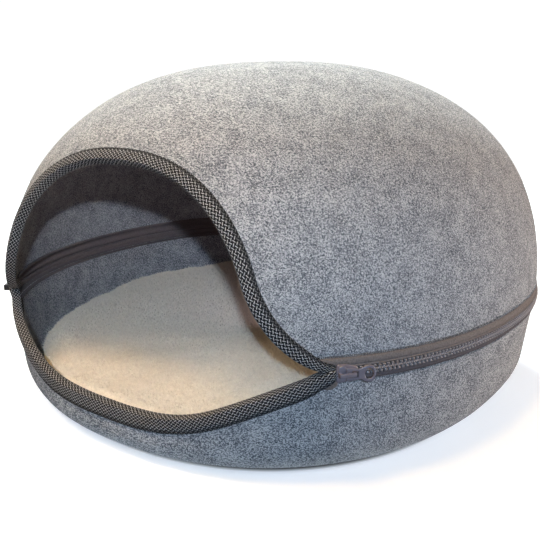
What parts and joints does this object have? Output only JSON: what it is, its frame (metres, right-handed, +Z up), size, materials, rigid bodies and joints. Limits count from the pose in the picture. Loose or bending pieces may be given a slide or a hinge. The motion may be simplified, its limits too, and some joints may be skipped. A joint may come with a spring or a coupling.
{
  "type": "oval felt cat bed",
  "caption": "Egg-shaped felt cat cave: a domed top zipped round to a low base, with a bound arch doorway and a loose fleece cushion on its floor.",
  "frame": {"origin": "on the floor, at the middle of the plan outline that the dome and the base share at the zip", "axes": "+Z up, -Y out of the doorway, +X to the right for someone who looks into the doorway"},
  "size_m": [0.4644, 0.4574, 0.284],
  "materials": {
    "felt": "mottled grey pressed felt",
    "binding": "near-black woven band with a pale lattice",
    "zip_tape": "taupe-grey woven tape",
    "zip_plastic": "satin grey-brown moulded plastic",
    "fleece": "cream short-pile fleece"
  },
  "bodies": {
    "root": {"felt_dome": "felt", "felt_base": "felt", "arch_binding": "binding", "dip_binding": "binding", "zip_tape_upper": "zip_tape", "zip_tape_lower": "zip_tape", "zip_chain": "zip_plastic", "zip_slider": "zip_plastic", "zip_pull": "zip_plastic", "zip_end": "zip_plastic", "cushion": "fleece"}
  },
  "joints": []
}
